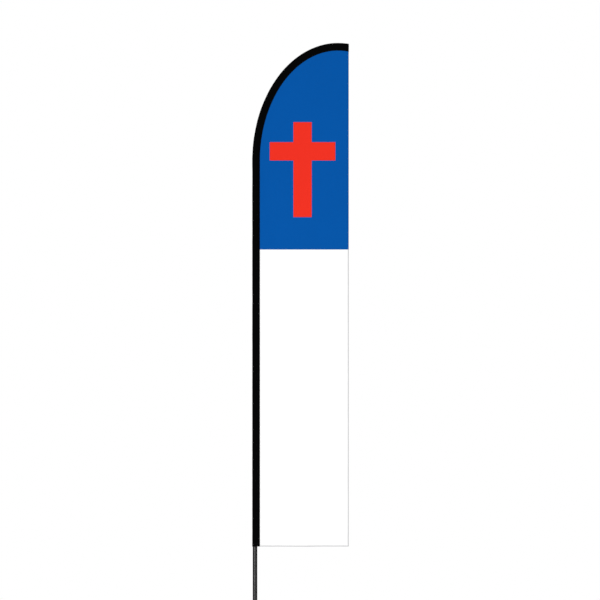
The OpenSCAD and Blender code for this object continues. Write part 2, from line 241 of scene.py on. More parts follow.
def slab(name, outline, y0, y1):
    """A closed flat piece of cloth over an outline, from depth y0 to depth y1."""
    points, tris = flat_mesh(outline, CLOTH_STEP)
    n = len(points)
    front = np.stack([points[:, 0], np.full(n, y0), points[:, 1]], -1)
    back = front + [0, y1 - y0, 0]
    sides = {(a, b) for f in tris for a, b in zip(f, f[1:] + f[:1])}
    faces = [tuple(f) for f in tris] + [tuple(n + i for i in reversed(f)) for f in tris]
    faces += [(b, a, n + a, n + b) for a, b in sides if (b, a) not in sides]
    return add_mesh(name, np.concatenate([front, back]), faces)


def ring_faces(rings, corners, closed=False):
    """Quads between rings of corners. Closed joins the last ring to the first."""
    faces = []
    for i in range(rings if closed else rings - 1):
        for j in range(corners):
            k, m = (i + 1) % rings, (j + 1) % corners
            faces.append((i * corners + j, k * corners + j, k * corners + m, i * corners + m))
    return faces


# ---------- materials ----------

def math_node(tree, operation, *values):
    """A math node in a shader tree; each value is a number or another node's output."""
    node = tree.nodes.new("ShaderNodeMath")
    node.operation = operation
    for socket, value in zip(node.inputs, values):
        if isinstance(value, (int, float)):
            socket.default_value = value
        else:
            tree.links.new(value, socket)
    return node.outputs["Value"]


class Shader:
    """A small help for building a material's nodes."""

    def __init__(self, name, colour, roughness, metallic=0.0, specular=0.5):
        self.mat = bpy.data.materials.new(name)
        self.mat.use_nodes = True
        self.tree = self.mat.node_tree
        self.nodes = self.tree.nodes
        self.links = self.tree.links
        self.bsdf = self.nodes["Principled BSDF"]
        self.set("Base Color", (*colour, 1))
        self.set("Roughness", roughness)
        self.set("Metallic", metallic)
        self.set("Specular IOR Level", specular)
        self.coord = self.nodes.new("ShaderNodeTexCoord").outputs["Object"]
        self.colour = colour
        self.roughness = roughness
        self.height = None

    def set(self, socket, value):
        self.bsdf.inputs[socket].default_value = value

    def stretched(self, scale):
        node = self.nodes.new("ShaderNodeMapping")
        node.inputs["Scale"].default_value = scale
        self.links.new(self.coord, node.inputs["Vector"])
        return node.outputs["Vector"]

    def noise(self, scale, detail=2.0, stretch=(1, 1, 1)):
        node = self.nodes.new("ShaderNodeTexNoise")
        node.inputs["Scale"].default_value = scale
        node.inputs["Detail"].default_value = detail
        self.links.new(self.stretched(stretch), node.inputs["Vector"])
        return node.outputs["Fac"]

    def cells(self, scale):
        node = self.nodes.new("ShaderNodeTexVoronoi")
        node.inputs["Scale"].default_value = scale
        self.links.new(self.coord, node.inputs["Vector"])
        return node.outputs["Color"]

    def ribs(self, pitch, axis, distortion=0.0):
        """Parallel ribs across an axis. A band texture repeats every pi / 10 of its scale."""
        node = self.nodes.new("ShaderNodeTexWave")
        node.bands_direction = axis
        node.inputs["Scale"].default_value = math.pi / 10 / pitch
        node.inputs["Distortion"].default_value = distortion
        self.links.new(self.coord, node.inputs["Vector"])
        return node.outputs["Fac"]

    def remap(self, value, lo, hi, from_lo=0.0, from_hi=1.0):
        node = self.nodes.new("ShaderNodeMapRange")
        for socket, number in (("From Min", from_lo), ("From Max", from_hi),
                               ("To Min", lo), ("To Max", hi)):
            node.inputs[socket].default_value = number
        self.links.new(value, node.inputs["Value"])
        return node.outputs["Result"]

    def tint(self, factor, other):
        """Mixes the base colour towards another by a factor."""
        node = self.nodes.new("ShaderNodeMix")
        node.data_type = "RGBA"
        base = self.bsdf.inputs["Base Color"]
        if base.links:
            self.links.new(base.links[0].from_socket, node.inputs[6])
        else:
            node.inputs[6].default_value = (*self.colour, 1)
        node.inputs[7].default_value = (*other, 1)
        self.links.new(factor, node.inputs[0])
        self.links.new(node.outputs[2], base)

    def vary_roughness(self, value, spread):
        span = self.remap(value, self.roughness - spread, self.roughness + spread, 0.3, 0.7)
        self.links.new(span, self.bsdf.inputs["Roughness"])

    def bump(self, height, distance, strength=1.0):
        node = self.nodes.new("ShaderNodeBump")
        node.inputs["Distance"].default_value = distance
        node.inputs["Strength"].default_value = strength
        self.links.new(height, node.inputs["Height"])
        if self.height:
            self.links.new(self.height, node.inputs["Normal"])
        self.height = node.outputs["Normal"]
        self.links.new(self.height, self.bsdf.inputs["Normal"])


def shaded(colour, factor):
    return tuple(min(1.0, c * factor) for c in colour)


def knit_cloth(name, colour):
    """Warp-knitted polyester: fine wales and courses, soft mottling and faint creases."""
    s = Shader(name, colour, 0.82, specular=0.05)
    s.set("Sheen Weight", 0.02)
    s.set("Sheen Roughness", 0.45)
    s.tint(s.remap(s.noise(3.0, 3.0), 0.0, 0.5, 0.35, 0.75), shaded(colour, 0.94))
    s.tint(s.remap(s.noise(240.0, 2.0), 0.0, 0.5, 0.45, 0.75), shaded(colour, 0.93))
    wales = s.ribs(0.0016, "X", 0.4)
    courses = s.ribs(0.0012, "Z", 0.6)
    s.bump(math_node(s.tree, "MULTIPLY", wales, courses), 0.00012, 0.6)
    s.bump(s.noise(26.0, 3.0), 0.0012, 0.25)
    s.vary_roughness(s.noise(60.0), 0.06)
    return s.mat


def woven_cloth(name, colour, pitch, depth):
    """Plain weave: warp and weft ribs of one pitch over a slubby yarn."""
    s = Shader(name, colour, 0.78, specular=0.02)
    s.set("Sheen Weight", 0.004)
    s.set("Sheen Roughness", 0.5)
    s.tint(s.remap(s.noise(220.0, 3.0), 0.0, 1.0, 0.4, 0.8), shaded(colour, 1.8))
    weave = math_node(s.tree, "ADD", s.ribs(pitch, "Z", 0.5), s.ribs(pitch, "X", 0.5))
    s.bump(weave, depth, 0.6)
    s.bump(s.noise(40.0, 3.0), 0.001, 0.3)
    s.vary_roughness(s.noise(90.0), 0.08)
    return s.mat


def thread(name, colour):
    """Twisted sewing thread with a slight lustre."""
    s = Shader(name, colour, 0.65, specular=0.1)
    s.tint(s.remap(s.noise(900.0, 1.0), 0.0, 1.0, 0.4, 0.7), shaded(colour, 0.8))
    s.bump(s.ribs(0.0007, "DIAGONAL"), 0.0001, 0.8)
    return s.mat


def galvanised(name, colour):
    """Zinc-plated steel: faint spangle, scuffs along the height and dull patches."""
    s = Shader(name, colour, 0.42, metallic=1.0)
    s.tint(s.remap(s.cells(160.0), 0.0, 0.6), shaded(colour, 0.78))
    s.tint(s.remap(s.noise(30.0, 4.0), 0.0, 0.7, 0.5, 0.8), shaded(colour, 0.6))
    s.bump(s.noise(1400.0, 2.0, (1, 1, 0.06)), 0.00006, 0.5)
    s.bump(s.noise(90.0, 4.0), 0.0002, 0.35)
    s.vary_roughness(s.noise(45.0, 4.0), 0.14)
    return s.mat


def turned_steel(name, colour, roughness):
    """Turned steel: fine tool rings round the axis and a few dull spots."""
    s = Shader(name, colour, roughness, metallic=1.0)
    s.tint(s.remap(s.noise(120.0, 4.0), 0.0, 0.8, 0.45, 0.8), shaded(colour, 0.7))
    s.bump(s.ribs(0.0008, "Z", 0.2), 0.00003, 0.6)
    s.bump(s.noise(300.0, 3.0), 0.00005, 0.4)
    s.vary_roughness(s.noise(80.0, 3.0), 0.08)
    return s.mat


def plated_steel(name, colour):
    """Nickel-plated pressed steel: polished, with hairline scratches and dull finger marks."""
    s = Shader(name, colour, 0.24, metallic=1.0)
    s.tint(s.remap(s.noise(200.0, 4.0), 0.0, 0.6, 0.45, 0.8), shaded(colour, 0.75))
    s.bump(s.noise(2500.0, 2.0, (0.1, 1, 1)), 0.00002, 0.4)
    s.vary_roughness(s.noise(350.0, 3.0), 0.09)
    return s.mat


def brass(name, colour):
    """Pressed brass with a warm tarnish in patches."""
    s = Shader(name, colour, 0.28, metallic=1.0)
    s.tint(s.remap(s.noise(260.0, 4.0), 0.0, 0.8, 0.5, 0.75), shaded(colour, 0.62))
    s.bump(s.noise(900.0, 2.0), 0.00004, 0.5)
    s.vary_roughness(s.noise(200.0, 3.0), 0.1)
    return s.mat


def lacquered_pole(name, colour):
    """Black lacquered tube: fine draw lines along its length and a little dust."""
    s = Shader(name, colour, 0.17, specular=0.42)
    s.tint(s.remap(s.noise(700.0, 3.0), 0.0, 0.3, 0.55, 0.8), shaded(colour, 1.8))
    s.bump(s.noise(900.0, 2.0, (1, 1, 0.02)), 0.00001, 0.4)
    s.vary_roughness(s.noise(300.0, 3.0, (1, 1, 0.05)), 0.05)
    return s.mat


def moulded_plastic(name, colour, roughness):
    """Moulded plastic or rubber with a fine spark-eroded grain."""
    s = Shader(name, colour, roughness, specular=0.4)
    s.tint(s.remap(s.noise(400.0, 3.0), 0.0, 0.8, 0.5, 0.8), shaded(colour, 1.9))
    s.bump(s.noise(1600.0, 2.0), 0.00008, 0.6)
    s.vary_roughness(s.noise(120.0, 3.0), 0.1)
    return s.mat


def fibreglass(name, colour):
    """Pultruded rod with its fibres showing along the length."""
    s = Shader(name, colour, 0.35, specular=0.5)
    s.tint(s.remap(s.noise(1200.0, 2.0, (1, 1, 0.01)), 0.0, 1.0, 0.45, 0.8), shaded(colour, 2.5))
    s.bump(s.noise(1200.0, 2.0, (1, 1, 0.01)), 0.00006, 0.5)
    return s.mat


def weld_metal(name, colour):
    """Weld bead: heat-tinted, rough steel."""
    s = Shader(name, colour, 0.5, metallic=1.0)
    s.tint(s.remap(s.noise(150.0, 4.0), 0.0, 0.9, 0.4, 0.7), (0.16, 0.12, 0.1))
    s.bump(s.noise(700.0, 3.0), 0.0002, 0.7)
    s.vary_roughness(s.noise(200.0), 0.12)
    return s.mat


def plain_floor(name):
    s = Shader(name, (0.86, 0.86, 0.855), 0.9, specular=0.1)
    s.tint(s.remap(s.noise(1.5, 3.0), 0.0, 0.5, 0.3, 0.8), (0.82, 0.82, 0.82))
    s.bump(s.noise(60.0, 3.0), 0.0005, 0.2)
    return s.mat


BLUE = (0.0, 0.0837, 0.357)
RED = (0.816, 0.0286, 0.0145)
WHITE = (0.93, 0.93, 0.93)
BLACK = (0.0008, 0.0008, 0.0009)
# Pale grey of the white panel's edge thread: painted shade, standing in for the shade along the white
# cloth's rolled edge.
EDGE_SHADE_GREY = (0.56, 0.56, 0.57)

MATERIALS = {
    "galvanised_steel": galvanised("galvanised_steel", (0.55, 0.56, 0.57)),
    "bearing_steel": turned_steel("bearing_steel", (0.75, 0.76, 0.78), 0.16),
    "bright_steel": turned_steel("bright_steel", (0.66, 0.66, 0.67), 0.26),
    "spring_steel": turned_steel("spring_steel", (0.25, 0.25, 0.27), 0.32),
    "cage_brass": brass("cage_brass", (0.72, 0.55, 0.25)),
    "black_rubber": moulded_plastic("black_rubber", (0.02, 0.02, 0.02), 0.7),
    "black_nylon": moulded_plastic("black_nylon", (0.03, 0.03, 0.032), 0.45),
    "black_pole": lacquered_pole("black_pole", (0.004, 0.004, 0.0043)),
    "ferrule_alloy": turned_steel("ferrule_alloy", (0.6, 0.6, 0.62), 0.3),
    "black_fibreglass": fibreglass("black_fibreglass", (0.02, 0.02, 0.022)),
    "black_cloth": woven_cloth("black_cloth", BLACK, 0.0009, 0.0001),
    "blue_cloth": knit_cloth("blue_cloth", BLUE),
    "white_cloth": knit_cloth("white_cloth", WHITE),
    "red_cloth": knit_cloth("red_cloth", RED),
    "black_webbing": woven_cloth("black_webbing", (0.008, 0.008, 0.008), 0.002, 0.0004),
    "eyelet_brass": brass("eyelet_brass", (0.78, 0.62, 0.32)),
}
NODE_FINISH = {"snap_button": plated_steel("plated_steel", (0.7, 0.69, 0.66))}
THREADS = {
    "black_cloth": thread("black_thread", (0.01, 0.01, 0.011)),
    "blue_cloth": thread("blue_thread", shaded(BLUE, 0.85)),
    "white_cloth": thread("white_thread", (0.8, 0.8, 0.8)),
    "red_cloth": thread("red_thread", shaded(RED, 0.85)),
    # The white panel's edge thread in pale grey: painted shade of the rolled edge, not a thread
    # colour.
    "painted_edge_shade": thread("pale_edge_thread", EDGE_SHADE_GREY),
}


def dress_cad_nodes():
    """Every node gets its own finish or its slot's material, and smooth shading."""
    for part in frame["record"]["subparts"]:
        obj = frame["nodes"][part["node"]]
        obj.data.materials.clear()
        obj.data.materials.append(NODE_FINISH.get(part["node"], MATERIALS[part["material_slot"]]))
        obj.data.polygons.foreach_set("use_smooth", [True] * len(obj.data.polygons))
        obj.data.set_sharp_from_angle(angle=math.radians(35))


# ---------- the hang of the cloth ----------

SIM_FRAMES = 45
SIM_STEP = 0.030
FIELD_LO = (EDGE_X - 2 * FIELD_STEP, HEM_Z - 2 * FIELD_STEP)


def seam_tree():
    """A tree of points along the seam between the sleeve and the cloth."""
    seam = np.concatenate([[[SEAM_X, HEM_Z]], seam_curve(SLEEVE_W)])
    return search_tree(resample(seam, 0.005))


def simulated_sway():
    """Hangs the flat flag from its sleeve in a light breeze: rest points (x, z) and their y."""
    points, faces = flat_mesh(flag_outline(HEM_Z, CREST_Z), SIM_STEP)
    verts = [(x, 0.0005 * noise.noise((5 * x, 5 * z, 0)), z) for x, z in points]
    sheet = add_mesh("hanging_sheet", verts, faces)
    tree = seam_tree()
    held = sheet.vertex_groups.new(name="held")
    for i, (x, z) in enumerate(points):
        if tree.find((x, z, 0))[2] < 0.004:
            held.add([i], 1.0, "REPLACE")
    cloth = sheet.modifiers.new("hang", "CLOTH")
    cloth.settings.quality = 6
    cloth.settings.mass = 0.12
    cloth.settings.tension_stiffness = 12
    cloth.settings.compression_stiffness = 12
    cloth.settings.shear_stiffness = 6
    cloth.settings.bending_stiffness = 0.25
    cloth.settings.air_damping = 1.5
    cloth.settings.vertex_group_mass = "held"
    cloth.point_cache.frame_start = 1
    cloth.point_cache.frame_end = SIM_FRAMES
    breeze = []
    for kind, strength, turned in (("WIND", 1.2, 78.0), ("TURBULENCE", 5.0, 0.0)):
        bpy.ops.object.effector_add(type=kind, location=(0.3, -1.0, 1.9))
        source = bpy.context.object
        source.rotation_euler = (0, math.radians(turned), 0)
        source.field.strength = strength
        source.field.size = 0.7
        source.field.seed = 7
        source.field.flow = 1.0
        breeze.append(source)
    scene = bpy.context.scene
    for f in range(1, SIM_FRAMES + 1):
        scene.frame_set(f)
    posed = sheet.evaluated_get(bpy.context.evaluated_depsgraph_get())
    co = np.zeros(len(posed.data.vertices) * 3)
    posed.data.vertices.foreach_get("co", co)
    y = co.reshape(-1, 3)[:, 1]
    scene.frame_set(1)
    for obj in [sheet, *breeze]:
        bpy.data.objects.remove(obj)
    return points, y


def sway_field():
    """The sway on a lattice of FIELD_STEP, smoothed, nil along the seam and within its limit."""
    points, y = simulated_sway()
    tree, seam = search_tree(points), seam_tree()
    columns = int((FREE_X - EDGE_X) / FIELD_STEP) + 5
    rows = int((CREST_Z - HEM_Z) / FIELD_STEP) + 5
    field = np.zeros((rows, columns))
    for r in range(rows):
        for c in range(columns):
            x = FIELD_LO[0] + c * FIELD_STEP
            z = FIELD_LO[1] + r * FIELD_STEP
            found = tree.find_n((x, z, 0), 14)
            weights = [math.exp(-((d / 0.032) ** 2)) + 1e-9 for _, _, d in found]
            mean = sum(w * y[i] for w, (_, i, _) in zip(weights, found)) / sum(weights)
            held = smooth(seam.find((x, z, 0))[2] / 0.10)
            field[r, c] = mean * (held if x > SEAM_X else 0.0)
    most = np.abs(field).max()
    return field * min(1.0, SWAY_LIMIT / max(most, 1e-9))


def cubic_weights(t):
    """Catmull-Rom weights of the four lattice points round a place."""
    return np.stack([
        -0.5 * t + t**2 - 0.5 * t**3,
        1 - 2.5 * t**2 + 1.5 * t**3,
        0.5 * t + 2 * t**2 - 1.5 * t**3,
        -0.5 * t**2 + 0.5 * t**3,
    ], -1)


def sway_at(x, z):
    """The sway at any points, smoothly between the lattice's."""
    u = np.clip((x - FIELD_LO[0]) / FIELD_STEP, 1.0, SWAY.shape[1] - 2.001)
    v = np.clip((z - FIELD_LO[1]) / FIELD_STEP, 1.0, SWAY.shape[0] - 2.001)
    c, r = u.astype(int), v.astype(int)
    wu, wv = cubic_weights(u - c), cubic_weights(v - r)
    total = np.zeros(len(u))
    for i in range(4):
        for j in range(4):
            total += wv[:, i] * wu[:, j] * SWAY[r + i - 1, c + j - 1]
    return total


def hang(obj):
    """Moves a flat piece's points across the flag's plane by the sway."""
    co = np.zeros(len(obj.data.vertices) * 3)
    obj.data.vertices.foreach_get("co", co)
    co = co.reshape(-1, 3)
    co[:, 1] += sway_at(co[:, 0], co[:, 2])
    obj.data.vertices.foreach_set("co", co.ravel())
    obj.data.update()


# ---------- sewing ----------

STITCH_PITCH = 0.0080
STITCH_LENGTH = 0.0062
THREAD_D = 0.0009


def stitches(name, rows, cloth_slot):
    """One piece of running stitches. Each row is (points, outward directions), both (n, 3)."""
    verts, faces = [], []
    for line, out in rows:
        along = np.concatenate([[0], np.cumsum(np.linalg.norm(np.diff(line, axis=0), axis=1))])
        starts = np.arange(STITCH_PITCH / 2, along[-1] - STITCH_LENGTH, STITCH_PITCH)
        rings = []
        for share, rise, width in ((0.0, -0.2, 0.5), (0.5, 0.3, 1.0), (1.0, -0.2, 0.5)):
            at = starts + share * STITCH_LENGTH
            p = np.stack([np.interp(at, along, line[:, k]) for k in range(3)], -1)
            up = np.stack([np.interp(at, along, out[:, k]) for k in range(3)], -1)
            rings.append((p + up * rise * THREAD_D, up, width * THREAD_D / 2))
        ahead = rings[2][0] - rings[0][0]
        ahead /= np.linalg.norm(ahead, axis=1, keepdims=True)
        first = len(verts)
        corners = []
        for p, up, half in rings:
            side = np.cross(ahead, up)
            corners += [p + side * half, p + up * half, p - side * half, p - up * half]
        block = np.stack(corners, 1)
        verts += [tuple(v) for v in block.reshape(-1, 3)]
        for n in range(len(starts)):
            b = first + 12 * n
            for ring in (0, 4):
                for q in range(4):
                    r = (q + 1) % 4
                    faces.append((b + ring + q, b + ring + 4 + q, b + ring + 4 + r, b + ring + r))
            faces.append((b, b + 1, b + 2, b + 3))
            faces.append((b + 11, b + 10, b + 9, b + 8))
    obj = add_mesh(name, verts, faces)
    obj.data.materials.append(THREADS[cloth_slot])
    return obj


def flat_row(points, y):
    """A row of stitches in the flag's plane, on the face at depth y."""
    line = resample(points, 0.02)
    at = np.stack([line[:, 0], np.full(len(line), y), line[:, 1]], -1)
    return at, np.tile([0.0, math.copysign(1.0, y), 0.0], (len(line), 1))


def both_faces(points, y):
    return [flat_row(points, -y), flat_row(points, y)]


# ---------- the flag's cloth ----------

STRIP_CORNERS = 10


def strip_section(width, half_t):
    """A flat strip's section with round edges: offsets across the strip and through it."""
    turn = np.linspace(0, 2 * math.pi, STRIP_CORNERS, endpoint=False)
    across = np.sign(np.cos(turn)) * (width / 2 - half_t) + np.cos(turn) * half_t
    return across, np.sin(turn) * half_t


def strip_faces(rings, corners):
    """The sides and both ends of a strip of rings."""
    last = (rings - 1) * corners
    ends = [tuple(range(corners)), tuple(reversed(range(last, last + corners)))]
    return ring_faces(rings, corners) + ends


def mitred(line):
    """Sideways directions along a flat line, lengthened at its corners to keep a strip's width."""
    ahead = np.diff(line, axis=0)
    ahead /= np.linalg.norm(ahead, axis=1, keepdims=True)
    left = np.stack([-ahead[:, 1], ahead[:, 0]], -1)
    before, after = np.concatenate([left[:1], left]), np.concatenate([left, left[-1:]])
    return (before + after) / (1 + np.sum(before * after, 1, keepdims=True))


def rounded_strip(name, path, width, half_t):
    """A flat strip with rounded edges along a path in the flag's plane, its corners mitred."""
    line = resample(np.array(path), CLOTH_STEP)
    across, through = strip_section(width, half_t)
    verts = [(x + sx * a, b, z + sz * a)
             for (x, z), (sx, sz) in zip(line, mitred(line)) for a, b in zip(across, through)]
    return add_mesh(name, verts, strip_faces(len(line), len(across)))


def make_flag():
    """Both panels, the crosses, hems and edge threads, all hung by the same sway; the white panel's
    edge thread is pale grey as painted shade of its rolled edge.
    """
    face = CLOTH_T / 2
    tuck = 0.008
    inset = 2 * HEM_INSET
    blue = slab("blue_panel_cloth", flag_outline(PANEL_SEAM_Z, CREST_Z, tuck, inset), -face, face)
    white = slab("white_panel_cloth", flag_outline(HEM_Z + inset, PANEL_SEAM_Z, tuck, inset),
                 -face, face)
    crosses = [
        slab("cross_front_cloth", cross_outline(), -face - CROSS_T, -face),
        slab("cross_back_cloth", cross_outline(), face, face + CROSS_T),
    ]
    top_z = seam_curve(SLEEVE_W)[-1][1] - 0.0005
    hem_t = 0.0011
    thread_t = 0.0014
    hem_x, hem_z = FREE_X - HEM_INSET - HEM_W / 2, HEM_Z + HEM_INSET + HEM_W / 2
    thread_x, thread_z = FREE_X - EDGE_THREAD_W / 2, HEM_Z + EDGE_THREAD_W / 2
    hems = {
        "blue": rounded_strip("blue_hem", [(hem_x, PANEL_SEAM_Z), (hem_x, top_z)], HEM_W, hem_t),
        "white": rounded_strip("white_hem", [(SEAM_X, hem_z), (hem_x, hem_z), (hem_x, PANEL_SEAM_Z)],
                               HEM_W, hem_t),
    }
    edge_threads = {
        "blue": rounded_strip("blue_edge_thread", [(thread_x, PANEL_SEAM_Z), (thread_x, top_z)],
                              EDGE_THREAD_W, thread_t),
        "white": rounded_strip("white_edge_thread",
                               [(SEAM_X, thread_z), (thread_x, thread_z), (thread_x, PANEL_SEAM_Z)],
                               EDGE_THREAD_W, thread_t),
    }
    hem_line = HEM_W - 0.002
    side_x = FREE_X - hem_line
    rise = hem_t + 0.0001
    seam_rise = face + 0.0001
    sewing = {
        "blue_stitches": ("blue_cloth", [
            *both_faces([(side_x, PANEL_SEAM_Z), (side_x, top_z)], rise),
            *both_faces([(SEAM_X, PANEL_SEAM_Z + 0.003), (side_x, PANEL_SEAM_Z + 0.003)], seam_rise),
            *both_faces([(SEAM_X, PANEL_SEAM_Z + 0.010), (side_x, PANEL_SEAM_Z + 0.010)], seam_rise),
        ]),
        "white_stitches": ("white_cloth", [
            *both_faces([(side_x, HEM_Z + hem_line), (side_x, PANEL_SEAM_Z)], rise),
            *both_faces([(SEAM_X, HEM_Z + hem_line), (side_x, HEM_Z + hem_line)], rise),
        ]),
        "cross_stitches": ("red_cloth", both_faces(
            np.concatenate([cross_outline(-0.004), cross_outline(-0.004)[:1]]),
            face + CROSS_T + 0.0001,
        )),
    }
    sewn = {name: stitches(name, rows, slot) for name, (slot, rows) in sewing.items()}
    for obj in [blue, white, *crosses, *hems.values(), *edge_threads.values(), *sewn.values()]:
        hang(obj)
    finish_piece(blue, "blue_cloth")
    finish_piece(white, "white_cloth")
    for obj in crosses:
        finish_piece(obj, "red_cloth")
    for key, obj in hems.items():
        finish_piece(obj, f"{key}_cloth")
    for key, obj in edge_threads.items():
        # The white panel's edge thread gets the pale grey: painted shade along its rolled edge.
        obj.data.materials.append(THREADS["blue_cloth" if key == "blue" else "painted_edge_shade"])
        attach(obj, FLAG_BODY)
    for obj in sewn.values():
        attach(obj, FLAG_BODY)
    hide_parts("blue_panel")
    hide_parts("white_panel")
    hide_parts("cross_front")
    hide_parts("cross_back")


# ---------- the pole sleeve ----------

SLEEVE_STEP = 0.005
SLEEVE_CLOTH_T = 0.0004
NOSE_ARC = 18
SEAM_ALLOWANCE = 0.0045
FLANK_POINTS = 5
CUFF_H = 0.024
END_BINDING_L = 0.016


def sleeve_stations():
    """Stations along the sleeve: straight heights, bend angles and the lengths from the hem."""
    straight = np.arange(HEM_Z, BEND_Z, SLEEVE_STEP)
    fine = np.linspace(math.pi, END_ANGLE, 2000)
    steps = np.linalg.norm(np.diff(edge_point(fine), axis=0), axis=1)
    run = np.concatenate([[0], np.cumsum(steps)])
    stops = np.linspace(0, run[-1], int(run[-1] / SLEEVE_STEP) + 1)
    angles = np.interp(stops, run, fine)
    return straight, angles, np.concatenate([straight, BEND_Z + stops]) - HEM_Z


def nose_radius(a):
    return NOSE_R + (TIP_NOSE_R - NOSE_R) * smooth(1.3 * passed(a))


def teardrop(r):
    """Section from the seam over the back, round the nose and back over the front.

    Each point is (depth, y, outward depth, outward y, nearness to the seam).
    """
    half_t = 0.0007
    tangent = math.acos(r / (SLEEVE_W - r))
    touch = np.array([r + r * math.cos(tangent), r * math.sin(tangent)])
    apex = np.array([SLEEVE_W, half_t])
    flank_dir = (touch - apex) / np.linalg.norm(touch - apex)
    flank_l = np.linalg.norm(touch - apex)
    out = np.array([math.cos(tangent), math.sin(tangent)])
    stops = [0.0, *np.linspace(SEAM_ALLOWANCE, flank_l, FLANK_POINTS, endpoint=False)]
    flank = [(*(apex + flank_dir * s), *out, 1 - s / flank_l) for s in stops]
    turn = np.linspace(tangent, 2 * math.pi - tangent, NOSE_ARC + 1)
    arc = [(r + r * math.cos(t), r * math.sin(t), math.cos(t), math.sin(t), 0.0) for t in turn]
    mirror = [(d, -y, od, -oy, q) for d, y, od, oy, q in reversed(flank)]
    return np.array(flank + arc + mirror)


def sleeve_rings():
    """Every ring of the sleeve as (stations, section, 3) points, outward directions and lengths."""
    straight, angles, lengths = sleeve_stations()
    rings, outs, near = [], [], []
    for z in straight:
        s = teardrop(NOSE_R)
        rings.append(np.stack([EDGE_X + s[:, 0], s[:, 1], np.full(len(s), z)], -1))
        outs.append(np.stack([s[:, 2], s[:, 3], np.zeros(len(s))], -1))
        near.append(s[:, 4])
    for a in angles:
        s = teardrop(float(nose_radius(a)))
        p = inset_points(np.full(len(s), a), s[:, 0])
        along = edge_dir(np.array(a))
        rings.append(np.stack([p[:, 0], s[:, 1], p[:, 1]], -1))
        outs.append(np.stack([s[:, 2] * along[1], s[:, 3], -s[:, 2] * along[0]], -1))
        near.append(s[:, 4])
    return np.array(rings), np.array(outs), np.array(near), lengths


def wrinkle(points, outs, near, lengths):
    """Outward rise of the sleeve's cloth: puckers at the seam, soft creases and the hemmed cuff."""
    bent = smooth((lengths - (BEND_Z - HEM_Z)) / 0.25)
    rise = np.zeros(points.shape[:2])
    for i, (ring, length) in enumerate(zip(points, lengths)):
        flat = np.array([
            noise.noise((0, 22 * p[1], 9 * length)) + 0.5 * noise.noise((7, 50 * p[1], 24 * length))
            for p in ring
        ])
        gather = np.array([noise.noise((3, 14 * p[1], 34 * length)) for p in ring])
        side = np.sign(ring[:, 1])
        pucker = np.sin(2 * math.pi * length / 0.021 + 1.3 * side) * near[i] ** 2
        rise[i] = 0.0007 * flat * (1 - near[i] ** 4) + 0.0003 * pucker
        rise[i] += 0.0012 * (gather + 0.25) * bent[i] * near[i] * (1 - near[i] ** 6)
        rise[i] += 0.0006 * (1 - smooth((length - CUFF_H) / 0.0015))
    settled = 0.35 + 0.65 * smooth(lengths / 0.05)
    return np.maximum(rise * settled[:, None], -0.0006 * (1 - smooth(2 * near)))


def make_sleeve():
    """The black pocket that the pole runs in, its cuff, its closed end and its sewing."""
    points, outs, near, lengths = sleeve_rings()
    points = points + outs * wrinkle(points, outs, near, lengths)[..., None]
    count, m = points.shape[:2]
    sleeve = add_mesh("pole_sleeve_cloth", points.reshape(-1, 3),
                      [tuple(reversed(f)) for f in ring_faces(count, m)])
    wall = sleeve.modifiers.new("wall", "SOLIDIFY")
    wall.thickness = SLEEVE_CLOTH_T
    wall.offset = -1
    finish_piece(sleeve, "black_cloth")
    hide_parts("pole_sleeve")
    binding = end_binding(points, outs, lengths)
    lifted = points + 0.0002 * outs
    rows = [(lifted[:, column], outs[:, column]) for column in (1, m - 2)]
    cuff = int((CUFF_H - 0.003) / SLEEVE_STEP)
    around = [*range(m), 0]
    rows.append((lifted[cuff, around], outs[cuff, around]))
    sewing = stitches("sleeve_stitches", rows, "black_cloth")
    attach(sewing, FLAG_BODY)


def end_binding(points, outs, lengths):
    """Folded tape that closes the sleeve where it is cut off at the free edge, a cup in shape."""
    gap, rise, end_t = 0.0001, 0.0006, 0.0011
    first = len(lengths) - 1 - int(END_BINDING_L / SLEEVE_STEP)
    stations = range(first, len(lengths))
    inner = [points[i] + gap * outs[i] for i in reversed(stations)]
    outer = [points[i] + rise * outs[i] for i in stations]
    floor = inner[0] + [gap, 0, 0]
    lip = [outer[-1] - outs[-1] * inset + [ahead, 0, 0]
           for inset, ahead in ((0.0006, 0.0008), (0.0016, end_t))]
    rings = np.array([floor, *inner, *outer, *lip])
    count, m = rings.shape[:2]
    middle = outer[-1].mean(0)
    verts = [*rings.reshape(-1, 3), middle + [gap, 0, 0], middle + [end_t, 0, 0]]
    faces = [tuple(reversed(f)) for f in ring_faces(count, m)]
    base = (count - 1) * m
    for j in range(m):
        k = (j + 1) % m
        faces += [(k, j, count * m), (base + j, base + k, count * m + 1)]
    binding = add_mesh("sleeve_end_binding", verts, faces)
    finish_piece(binding, "black_cloth")
    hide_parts("sleeve_end_patch")
    return binding


# ---------- button spring, tension tab, welds ----------

def make_button_spring():
    """The button's leaf spring: a strip folded at its foot into a near leg and a far leg."""
    leaf_t = 0.0008
    fold_r = 0.004
    fold_y = -0.001
    straight = 0.011
    lo, hi = (Vector(c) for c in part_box("button_spring"))
    near_y, far_y = hi.y - leaf_t / 2, lo.y + leaf_t / 2
    fold_z = lo.z + leaf_t / 2 + fold_r
    turn = np.linspace(0, -math.pi, 17)
    fold = np.stack([fold_y + fold_r * np.cos(turn), fold_z + fold_r * np.sin(turn)], -1)
    line = resample(np.concatenate([
        [[near_y, hi.z], [near_y, hi.z - straight]], fold, [[far_y, hi.z - straight], [far_y, hi.z]],
    ]), 0.003)
    along = np.gradient(line, axis=0)
    along /= np.linalg.norm(along, axis=1, keepdims=True)
    across, through = strip_section(hi.x - lo.x, leaf_t / 2)
    verts = [(a, y - tz * b, z + ty * b)
             for (y, z), (ty, tz) in zip(line, along) for a, b in zip(across, through)]
    leaf = add_mesh("button_spring_leaf", verts, strip_faces(len(line), len(across)))
    leaf.data.materials.append(MATERIALS["spring_steel"])
    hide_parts("button_spring")
    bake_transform(leaf)


